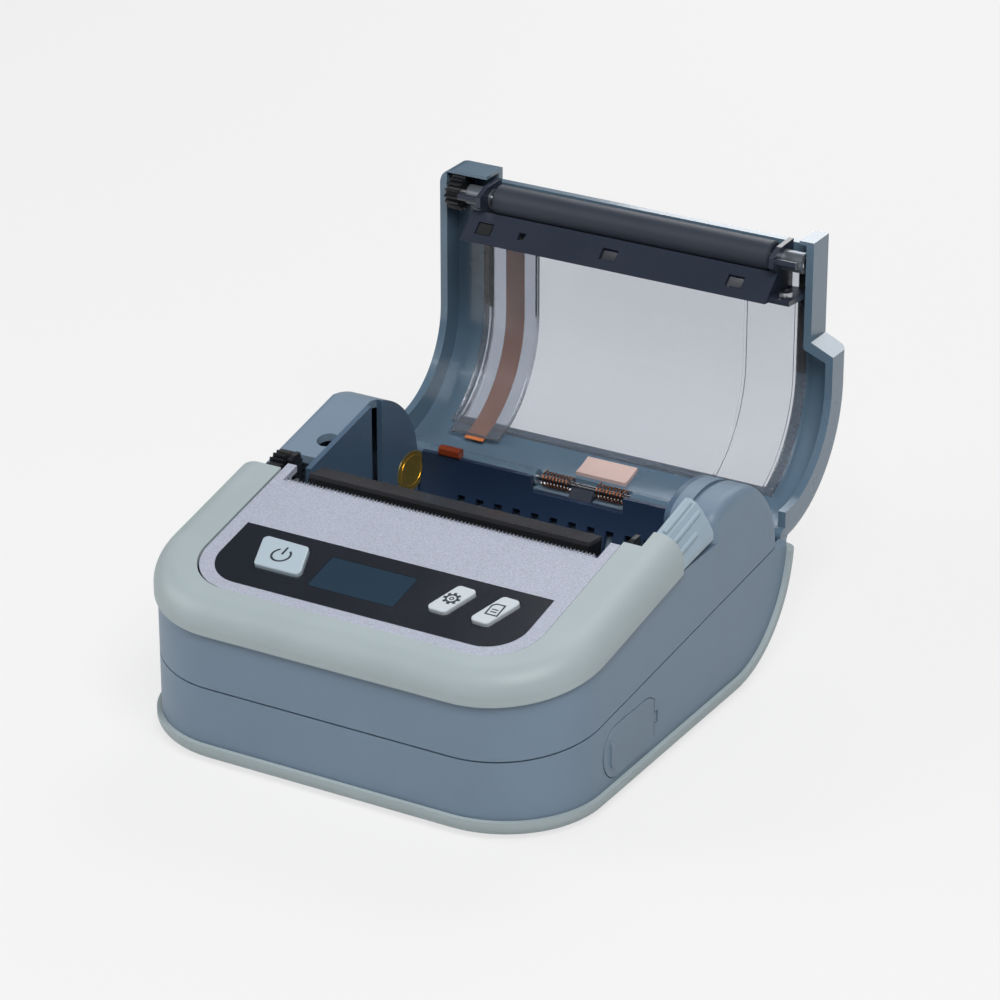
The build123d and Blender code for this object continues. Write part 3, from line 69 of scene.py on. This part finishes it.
def mouldedGroup():
    # fine moulded grain: slight colour drift, roughness change and a height for the bump
    group = bpy.data.node_groups.new("mouldedGrain", "ShaderNodeTree")
    addSocket(group, "Colour", "INPUT", "NodeSocketColor", (0.5, 0.5, 0.5, 1))
    addSocket(group, "Drift", "INPUT", "NodeSocketFloat", 0.06)
    addSocket(group, "Roughness", "INPUT", "NodeSocketFloat", 0.5)
    addSocket(group, "Grain size", "INPUT", "NodeSocketFloat", 4000.0)
    addSocket(group, "Speckle", "INPUT", "NodeSocketFloat", 0.0)
    addSocket(group, "Colour", "OUTPUT", "NodeSocketColor")
    addSocket(group, "Roughness", "OUTPUT", "NodeSocketFloat")
    addSocket(group, "Height", "OUTPUT", "NodeSocketFloat")
    nodes, links = group.nodes, group.links
    given = nodes.new("NodeGroupInput")
    made = nodes.new("NodeGroupOutput")
    place = nodes.new("ShaderNodeTexCoord")
    fine = nodes.new("ShaderNodeTexNoise")
    fine.inputs["Detail"].default_value = 3.0
    links.new(place.outputs["Object"], fine.inputs["Vector"])
    links.new(given.outputs["Grain size"], fine.inputs["Scale"])
    wide = nodes.new("ShaderNodeTexNoise")
    wide.inputs["Scale"].default_value = 60.0
    wide.inputs["Detail"].default_value = 4.0
    links.new(place.outputs["Object"], wide.inputs["Vector"])
    spots = nodes.new("ShaderNodeTexNoise")
    spots.inputs["Scale"].default_value = 2600.0
    spots.inputs["Detail"].default_value = 1.0
    links.new(place.outputs["Object"], spots.inputs["Vector"])
    # colour drifts a little over the piece
    driftRange = nodes.new("ShaderNodeMapRange")
    driftRange.inputs["From Min"].default_value = 0.3
    driftRange.inputs["From Max"].default_value = 0.7
    links.new(wide.outputs["Fac"], driftRange.inputs["Value"])
    negative = addMath(nodes, "MULTIPLY")
    negative.inputs[1].default_value = -1.0
    links.new(given.outputs["Drift"], negative.inputs[0])
    links.new(negative.outputs[0], driftRange.inputs["To Min"])
    links.new(given.outputs["Drift"], driftRange.inputs["To Max"])
    # bright and dark flecks
    fleck = nodes.new("ShaderNodeMapRange")
    fleck.inputs["From Min"].default_value = 0.35
    fleck.inputs["From Max"].default_value = 0.65
    fleck.inputs["To Min"].default_value = -1.0
    fleck.inputs["To Max"].default_value = 1.0
    links.new(spots.outputs["Fac"], fleck.inputs["Value"])
    flecked = addMath(nodes, "MULTIPLY")
    links.new(fleck.outputs["Result"], flecked.inputs[0])
    links.new(given.outputs["Speckle"], flecked.inputs[1])
    total = addMath(nodes, "ADD")
    links.new(driftRange.outputs["Result"], total.inputs[0])
    links.new(flecked.outputs[0], total.inputs[1])
    lift = addMath(nodes, "ADD")
    lift.inputs[1].default_value = 1.0
    links.new(total.outputs[0], lift.inputs[0])
    tone = addScale(nodes)
    links.new(given.outputs["Colour"], tone.inputs[0])
    links.new(lift.outputs[0], tone.inputs["Scale"])
    links.new(tone.outputs["Vector"], made.inputs["Colour"])
    # roughness follows the same drift
    rough = addMath(nodes, "MULTIPLY_ADD")
    rough.inputs[1].default_value = 0.8
    links.new(driftRange.outputs["Result"], rough.inputs[0])
    links.new(given.outputs["Roughness"], rough.inputs[2])
    links.new(rough.outputs[0], made.inputs["Roughness"])
    links.new(fine.outputs["Fac"], made.inputs["Height"])
    return group


def brushedGroup():
    # brushed metal: streaks along the width
    group = bpy.data.node_groups.new("brushedStreaks", "ShaderNodeTree")
    addSocket(group, "Colour", "INPUT", "NodeSocketColor", (0.6, 0.6, 0.6, 1))
    addSocket(group, "Roughness", "INPUT", "NodeSocketFloat", 0.3)
    addSocket(group, "Streaks", "INPUT", "NodeSocketFloat", 0.15)
    addSocket(group, "Colour", "OUTPUT", "NodeSocketColor")
    addSocket(group, "Roughness", "OUTPUT", "NodeSocketFloat")
    addSocket(group, "Height", "OUTPUT", "NodeSocketFloat")
    nodes, links = group.nodes, group.links
    given = nodes.new("NodeGroupInput")
    made = nodes.new("NodeGroupOutput")
    place = nodes.new("ShaderNodeTexCoord")
    stretch = nodes.new("ShaderNodeMapping")
    stretch.inputs["Scale"].default_value = (60.0, 3000.0, 3000.0)
    links.new(place.outputs["Object"], stretch.inputs["Vector"])
    streak = nodes.new("ShaderNodeTexNoise")
    streak.inputs["Scale"].default_value = 1.0
    streak.inputs["Detail"].default_value = 3.0
    links.new(stretch.outputs["Vector"], streak.inputs["Vector"])
    span = addMath(nodes, "SUBTRACT")
    span.inputs[1].default_value = 0.5
    links.new(streak.outputs["Fac"], span.inputs[0])
    scaled = addMath(nodes, "MULTIPLY")
    links.new(span.outputs[0], scaled.inputs[0])
    links.new(given.outputs["Streaks"], scaled.inputs[1])
    lift = addMath(nodes, "ADD")
    lift.inputs[1].default_value = 1.0
    links.new(scaled.outputs[0], lift.inputs[0])
    tone = addScale(nodes)
    links.new(given.outputs["Colour"], tone.inputs[0])
    links.new(lift.outputs[0], tone.inputs["Scale"])
    links.new(tone.outputs["Vector"], made.inputs["Colour"])
    rough = addMath(nodes, "ADD")
    links.new(scaled.outputs[0], rough.inputs[0])
    links.new(given.outputs["Roughness"], rough.inputs[1])
    links.new(rough.outputs[0], made.inputs["Roughness"])
    links.new(streak.outputs["Fac"], made.inputs["Height"])
    return group


mouldedGrain = mouldedGroup()
brushedStreaks = brushedGroup()


def finish(name, colour, roughness=0.5, group=None, drift=0.05, grain=4000.0, speckle=0.0, bump=0.06,
           bumpDepth=0.02, metallic=0.0, coat=0.0, coatRoughness=0.1, transmission=0.0, ior=1.46):
    # one material: a group for the fine detail, and the shader beside it
    material = bpy.data.materials.new(name)
    material.use_nodes = True
    nodes, links = material.node_tree.nodes, material.node_tree.links
    shader = nodes["Principled BSDF"]
    detail = nodes.new("ShaderNodeGroup")
    detail.node_tree = group or mouldedGrain
    detail.inputs["Colour"].default_value = linear(*colour)
    detail.inputs["Roughness"].default_value = roughness
    if detail.node_tree == mouldedGrain:
        detail.inputs["Drift"].default_value = drift
        detail.inputs["Grain size"].default_value = grain
        detail.inputs["Speckle"].default_value = speckle
    links.new(detail.outputs["Colour"], shader.inputs["Base Color"])
    links.new(detail.outputs["Roughness"], shader.inputs["Roughness"])
    ripple = nodes.new("ShaderNodeBump")
    ripple.inputs["Strength"].default_value = bump
    ripple.inputs["Distance"].default_value = bumpDepth * mm
    links.new(detail.outputs["Height"], ripple.inputs["Height"])
    links.new(ripple.outputs["Normal"], shader.inputs["Normal"])
    shader.inputs["Metallic"].default_value = metallic
    shader.inputs["Coat Weight"].default_value = coat
    shader.inputs["Coat Roughness"].default_value = coatRoughness
    shader.inputs["Transmission Weight"].default_value = transmission
    shader.inputs["IOR"].default_value = ior
    return material


casePlastic = finish("casePlastic", (112, 131, 149), 0.46, bump=0.10, drift=0.03)
rimRubber = finish("rimRubber", (158, 170, 173), 0.5, bump=0.10, drift=0.03)
bumperPlastic = finish("bumperPlastic", (158, 170, 173), 0.46, bump=0.10, drift=0.03)
panelPlastic = finish("panelPlastic", (164, 169, 184), 0.42, bump=0.25, drift=0.02, speckle=0.14)
overlayFilm = finish("overlayFilm", (30, 34, 42), 0.24, bump=0.04, coat=0.5, drift=0.03)
displayFace = finish("displayFace", (38, 56, 72), 0.12, bump=0.02, coat=0.8, drift=0.02)
powerKey = finish("powerKey", (168, 183, 193), 0.38, bump=0.08, drift=0.02)
smallKey = finish("smallKey", (190, 198, 204), 0.38, bump=0.08, drift=0.02)
keyMark = finish("keyMark", (40, 48, 58), 0.5, bump=0.02)
darkPlastic = finish("darkPlastic", (24, 26, 30), 0.42, bump=0.1)
footRubber = finish("footRubber", (38, 40, 43), 0.75, bump=0.2)
# painted shade: the roll bay is the case's blue-grey plastic darkened to the tone it shows in shadow
bayPaintedShade = finish("bayPaintedShade", (34, 51, 76), 0.36, bump=0.08, drift=0.03)
# painted shade: the cheeks are the case's blue-grey plastic darkened to the tone their faces show in shadow
cheekPaintedShade = finish("cheekPaintedShade", (74, 96, 118), 0.36, bump=0.08, drift=0.03)
headGlaze = finish("headGlaze", (52, 52, 56), 0.2, bump=0.03, coat=0.3)
sinkMetal = finish("sinkMetal", (62, 64, 68), 0.4, group=brushedStreaks, metallic=0.9)
bracketPlastic = finish("bracketPlastic", (40, 46, 60), 0.3, bump=0.08, drift=0.03, coat=0.2)
lidPlastic = finish("lidPlastic", (88, 110, 128), 0.26, bump=0.05, drift=0.03, coat=0.5)
windowPlastic = finish("windowPlastic", (214, 218, 226), 0.07, bump=0.03, drift=0.01, transmission=0.9,
                       ior=1.38, coat=0.2)
flexClear = finish("flexClear", (205, 210, 218), 0.12, bump=0.03, drift=0.01, transmission=0.9, ior=1.3)
flexFilm = finish("flexFilm", (205, 120, 72), 0.3, bump=0.05, coat=0.3, drift=0.05)
clampPlastic = finish("clampPlastic", (128, 52, 24), 0.36, bump=0.08)
padFelt = finish("padFelt", (206, 180, 174), 0.8, bump=0.6, grain=9000.0, drift=0.06)
rollerRubber = finish("rollerRubber", (44, 50, 62), 0.5, bump=0.15, drift=0.04)
bushingPlastic = finish("bushingPlastic", (120, 126, 134), 0.3, bump=0.05, metallic=0.6)
gearPlastic = finish("gearPlastic", (22, 24, 28), 0.4, bump=0.08)
latchPlastic = finish("latchPlastic", (150, 168, 180), 0.42, bump=0.08, drift=0.03)
coverRubber = finish("coverRubber", (116, 134, 150), 0.55, bump=0.12, drift=0.03)
groundSteel = finish("groundSteel", (176, 178, 182), 0.25, group=brushedStreaks, metallic=1.0)
bladeSteel = finish("bladeSteel", (205, 208, 213), 0.3, group=brushedStreaks, metallic=1.0)
copperWire = finish("copperWire", (132, 84, 62), 0.3, group=brushedStreaks, metallic=1.0)
bareAluminium = finish("bareAluminium", (160, 163, 168), 0.35, group=brushedStreaks, metallic=1.0)
motorMetal = finish("motorMetal", (70, 72, 78), 0.35, group=brushedStreaks, metallic=0.8)
boardGreen = finish("boardGreen", (28, 78, 48), 0.4, bump=0.1, drift=0.08)
batteryWrap = finish("batteryWrap", (40, 62, 112), 0.3, bump=0.05)
goldFoil = finish("goldFoil", (236, 198, 96), 0.28, bump=0.25, grain=2500.0, metallic=0.85)

looks = {
    "base_bumper": rimRubber, "feet": footRubber, "lower_case": casePlastic, "case_screws": groundSteel,
    "upper_case": casePlastic, "top_bumper": bumperPlastic, "front_panel": panelPlastic,
    "panel_frame": darkPlastic, "control_overlay": overlayFilm, "display_glass": displayFace,
    "display_module": darkPlastic, "tear_bar": bladeSteel, "power_button": powerKey,
    "settings_button": smallKey, "feed_button": smallKey, "key_board": boardGreen,
    "key_switches": darkPlastic,
    "roll_bay": bayPaintedShade, "left_cheek": cheekPaintedShade, "right_cheek": cheekPaintedShade,
    "hinge_bracket": bracketPlastic, "hinge_pin": groundSteel,
    "hinge_spring_left": copperWire, "hinge_spring_right": copperWire, "lid_frame": lidPlastic,
    "lid_window": windowPlastic, "flex_cable": flexFilm, "flex_cover": flexClear, "flex_clamp": clampPlastic,
    "lid_pad": padFelt, "platen_bracket": bracketPlastic, "platen_bushings": bushingPlastic,
    "platen_shaft": groundSteel, "platen_rubber": rollerRubber, "platen_gear": gearPlastic,
    "bracket_screws": groundSteel, "lid_sensor": gearPlastic, "drive_gear": gearPlastic,
    "idler_gear": gearPlastic, "motor_pinion": gearPlastic, "stepper_motor": motorMetal,
    "gear_plate": bareAluminium, "gear_posts": groundSteel, "print_head": headGlaze,
    "head_heatsink": sinkMetal, "latch_hooks": darkPlastic, "latch_button": latchPlastic,
    "latch_pin": groundSteel, "battery_pack": batteryWrap, "main_board": boardGreen, "usb_port": groundSteel,
    "usb_board": boardGreen, "port_cover": coverRubber, "port_anchor": coverRubber,
    "paper_sensor": gearPlastic, "gold_seal": goldFoil,
}
for name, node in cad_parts.items():
    if node.material_slots:
        for slot in node.material_slots:
            slot.material = looks[name]
    else:
        node.data.materials.append(looks[name])
print("stage: finishes on the carried-over nodes")


# Camera, lights and floor
view = {"target": (-14.8, 43.31, 30.0), "distance": 1033.6, "azimuth": 30.23, "elevation": 24.80,
        "lens": 151.2, "sensor": 36.0, "clipStart": 0.01}
azimuth = radians(view["azimuth"])
elevation = radians(view["elevation"])
forward = Vector((-sin(azimuth) * cos(elevation), cos(azimuth) * cos(elevation), -sin(elevation)))
cameraData = bpy.data.cameras.new("camera")
cameraData.lens = view["lens"]
cameraData.sensor_width = view["sensor"]
cameraData.clip_start = view["clipStart"]
camera = bpy.data.objects.new("camera", cameraData)
scene.collection.objects.link(camera)
camera.location = (Vector(view["target"]) - forward * view["distance"]) * mm
camera.rotation_euler = forward.to_track_quat("-Z", "Y").to_euler()
scene.camera = camera
scene.view_settings.view_transform = "Standard"

lampAim = (0, 0.02, 0.03)
lightPlan = {
    "key": {"place": (0.35, -0.35, 0.75), "size": 0.5, "power": 7.0},
    "left": {"place": (-0.7, -0.3, 0.45), "size": 0.5, "power": 3.2},
    "rear": {"place": (-0.1, 0.75, 0.6), "size": 0.6, "power": 4.8},
}
for name, plan in lightPlan.items():
    lamp = bpy.data.lights.new(name, "AREA")
    lamp.shape = "SQUARE"
    lamp.size = plan["size"]
    lamp.energy = plan["power"]
    lampObject = bpy.data.objects.new(name, lamp)
    scene.collection.objects.link(lampObject)
    lampObject.location = plan["place"]
    aim = Vector(lampAim) - Vector(plan["place"])
    lampObject.rotation_euler = aim.to_track_quat("-Z", "Y").to_euler()

backdrop = {"tone": 0.905, "fill": 0.52, "floorTone": 0.78, "floorRoughness": 0.9, "floorSpecular": 0.1,
            "floorGlow": 0.8, "floorHalf": 6.0}
world = bpy.data.worlds.new("surround")
scene.world = world
world.use_nodes = True
nodes, links = world.node_tree.nodes, world.node_tree.links
ground = nodes["Background"]
path = nodes.new("ShaderNodeLightPath")
seen = addMath(nodes, "MAXIMUM")
links.new(path.outputs["Is Camera Ray"], seen.inputs[0])
links.new(path.outputs["Is Glossy Ray"], seen.inputs[1])
through = addMath(nodes, "MAXIMUM")
links.new(seen.outputs[0], through.inputs[0])
links.new(path.outputs["Is Transmission Ray"], through.inputs[1])
level = nodes.new("ShaderNodeMix")
level.data_type = "FLOAT"
level.inputs[2].default_value = backdrop["fill"]
level.inputs[3].default_value = backdrop["tone"]
links.new(through.outputs[0], level.inputs[0])
links.new(level.outputs[0], ground.inputs["Strength"])

floorMesh = bpy.data.meshes.new("floor")
shape = bmesh.new()
bmesh.ops.create_grid(shape, x_segments=1, y_segments=1, size=backdrop["floorHalf"])
shape.to_mesh(floorMesh)
shape.free()
floor = bpy.data.objects.new("floor", floorMesh)
scene.collection.objects.link(floor)
floorFinish = bpy.data.materials.new("floorFinish")
floorFinish.use_nodes = True
nodes, links = floorFinish.node_tree.nodes, floorFinish.node_tree.links
shader = nodes["Principled BSDF"]
shader.inputs["Base Color"].default_value = (*[backdrop["floorTone"]] * 3, 1)
shader.inputs["Roughness"].default_value = backdrop["floorRoughness"]
shader.inputs["Specular IOR Level"].default_value = backdrop["floorSpecular"]
glow = nodes.new("ShaderNodeEmission")
glow.inputs["Color"].default_value = (*[backdrop["tone"]] * 3, 1)
path = nodes.new("ShaderNodeLightPath")
share = addMath(nodes, "MAXIMUM")
links.new(path.outputs["Is Camera Ray"], share.inputs[0])
links.new(path.outputs["Is Transmission Ray"], share.inputs[1])
kept = addMath(nodes, "MULTIPLY")
kept.inputs[1].default_value = backdrop["floorGlow"]
links.new(share.outputs[0], kept.inputs[0])
blendShader = nodes.new("ShaderNodeMixShader")
links.new(kept.outputs[0], blendShader.inputs[0])
links.new(shader.outputs[0], blendShader.inputs[1])
links.new(glow.outputs[0], blendShader.inputs[2])
links.new(blendShader.outputs[0], nodes["Material Output"].inputs["Surface"])
floorMesh.materials.append(floorFinish)
print("stage: camera, lights and floor")


# Helpers for the scene's own pieces
def addPiece(name, verts, faces, body, material):
    mesh = bpy.data.meshes.new(name)
    mesh.from_pydata([tuple(v * mm for v in vert) for vert in verts], [], faces)
    shape = bmesh.new()
    shape.from_mesh(mesh)
    bmesh.ops.recalc_face_normals(shape, faces=shape.faces)
    shape.to_mesh(mesh)
    shape.free()
    piece = bpy.data.objects.new(name, mesh)
    scene.collection.objects.link(piece)
    mesh.materials.append(material)
    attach(piece, body)
    return piece


def prism(outlines, place, low, high):
    # solid strips from closed outlines in a plane: place(u, v, height) gives the point
    verts, faces = [], []
    for outline in outlines:
        start = len(verts)
        count = len(outline)
        verts += [place(u, v, low) for u, v in outline] + [place(u, v, high) for u, v in outline]
        faces.append([start + i for i in range(count)])
        faces.append([start + count + i for i in range(count)])
        for i in range(count):
            j = (i + 1) % count
            faces.append([start + i, start + j, start + count + j, start + count + i])
    return verts, faces


def arcStrip(centre, radius, width, fromAngle, toAngle, steps):
    # a bent strip as quads
    quads = []
    for i in range(steps):
        a = radians(fromAngle + (toAngle - fromAngle) * i / steps)
        b = radians(fromAngle + (toAngle - fromAngle) * (i + 1) / steps)
        inner, outer = radius - width / 2, radius + width / 2
        quads.append([(centre[0] + inner * cos(a), centre[1] + inner * sin(a)),
                      (centre[0] + outer * cos(a), centre[1] + outer * sin(a)),
                      (centre[0] + outer * cos(b), centre[1] + outer * sin(b)),
                      (centre[0] + inner * cos(b), centre[1] + inner * sin(b))])
    return quads


def strip(start, end, width):
    # a straight bar between two points
    along = Vector((end[0] - start[0], end[1] - start[1])).normalized()
    across = Vector((-along.y, along.x)) * width / 2
    return [(start[0] + across.x, start[1] + across.y), (end[0] + across.x, end[1] + across.y),
            (end[0] - across.x, end[1] - across.y), (start[0] - across.x, start[1] - across.y)]


panel = {"tearY": -10.6, "tearZ": 50.6, "slope": 12.2, "keyRise": 0.9, "markSunk": 0.01,
         "markHeight": 0.03, "markWidth": 0.55}
panelUp = (cos(radians(panel["slope"])), sin(radians(panel["slope"])))


def onKey(centreX, centreY):
    # point on a key's top from its own middle: u to the right, v up the slope
    def place(u, v, height):
        along = (centreY - panel["tearY"]) / panelUp[0] + v
        out = panel["keyRise"] + height
        return (centreX + u, panel["tearY"] + along * panelUp[0] - out * panelUp[1],
                panel["tearZ"] + along * panelUp[1] + out * panelUp[0])
    return place


def addMark(name, outlines, centre, body):
    verts, faces = prism(outlines, onKey(*centre), -panel["markSunk"], panel["markHeight"])
    return addPiece(name, verts, faces, body, keyMark)


power = {"centre": (-26.1, -37.2), "ring": 2.3, "ringY": -0.2, "from": 125, "to": 415, "steps": 28,
         "barLow": 0.1, "barHigh": 2.9}
powerMark = arcStrip((0, power["ringY"]), power["ring"], panel["markWidth"], power["from"], power["to"],
                     power["steps"])
powerMark.append(strip((0, power["barLow"]), (0, power["barHigh"]), panel["markWidth"]))
addMark("power_mark", powerMark, power["centre"], "power_key")

cog = {"centre": (19.6, -37.2), "teeth": 8, "ring": 1.35, "ringWidth": 0.5, "ringSteps": 24, "root": 1.5,
       "tooth": 2.15, "toothWidth": 0.75, "hub": 0.45, "hubWidth": 0.3, "hubSteps": 14}
gearMark = arcStrip((0, 0), cog["ring"], cog["ringWidth"], 0, 360, cog["ringSteps"])
for i in range(cog["teeth"]):
    turn = 2 * pi * i / cog["teeth"]
    gearMark.append(strip((cog["root"] * cos(turn), cog["root"] * sin(turn)),
                          (cog["tooth"] * cos(turn), cog["tooth"] * sin(turn)), cog["toothWidth"]))
gearMark += arcStrip((0, 0), cog["hub"], cog["hubWidth"], 0, 360, cog["hubSteps"])
addMark("settings_mark", gearMark, cog["centre"], "settings_key")

# a page with its upper left corner cut off, and two lines of writing
page = {"centre": (31.0, -37.2), "half": 1.5, "high": 2.0, "cutHigh": 1.3, "cutFrom": 1.2, "cutTo": -0.6,
        "over": 0.2, "topFrom": -0.7, "line": 0.4, "textHalf": 0.8, "textRows": (-0.9, 0.0), "textLine": 0.35}
half, high, over = page["half"], page["high"], page["over"]
pageEdges = [((-half, -high), (-half, page["cutHigh"])), ((half, -high), (half, high)),
             ((-half - over, -high), (half + over, -high)), ((page["topFrom"], high), (half + over, high)),
             ((-half, page["cutFrom"]), (page["cutTo"], high))]
pageMark = [strip(start, end, page["line"]) for start, end in pageEdges]
for row in page["textRows"]:
    pageMark.append(strip((-page["textHalf"], row), (page["textHalf"], row), page["textLine"]))
addMark("feed_mark", pageMark, page["centre"], "feed_key")
print("stage: key marks")

# Raised rim on the gold seal, inside its edge
seal = {"centre": (49.3, 28.8), "half": (4.7, 3.8), "lean": -12.0, "rim": 0.35, "rise": 0.08, "sunk": 0.02,
        "face": -43.88, "steps": 48}


def onCheek(u, v, height):
    turn = radians(seal["lean"])
    return (seal["face"] + height, seal["centre"][0] + u * cos(turn) - v * sin(turn),
            seal["centre"][1] + u * sin(turn) + v * cos(turn))


def ovalStrip(half, rim, steps):
    quads = []
    for i in range(steps):
        a, b = 2 * pi * i / steps, 2 * pi * (i + 1) / steps
        quads.append([((half[0] + side) * cos(t), (half[1] + side) * sin(t))
                      for t, side in ((a, 0), (a, rim), (b, rim), (b, 0))])
    return quads


sealRim = ovalStrip(seal["half"], seal["rim"], seal["steps"])
verts, faces = prism(sealRim, onCheek, -seal["sunk"], seal["rise"])
addPiece("seal_rim", verts, faces, "case", goldFoil)
print("stage: seal rim")
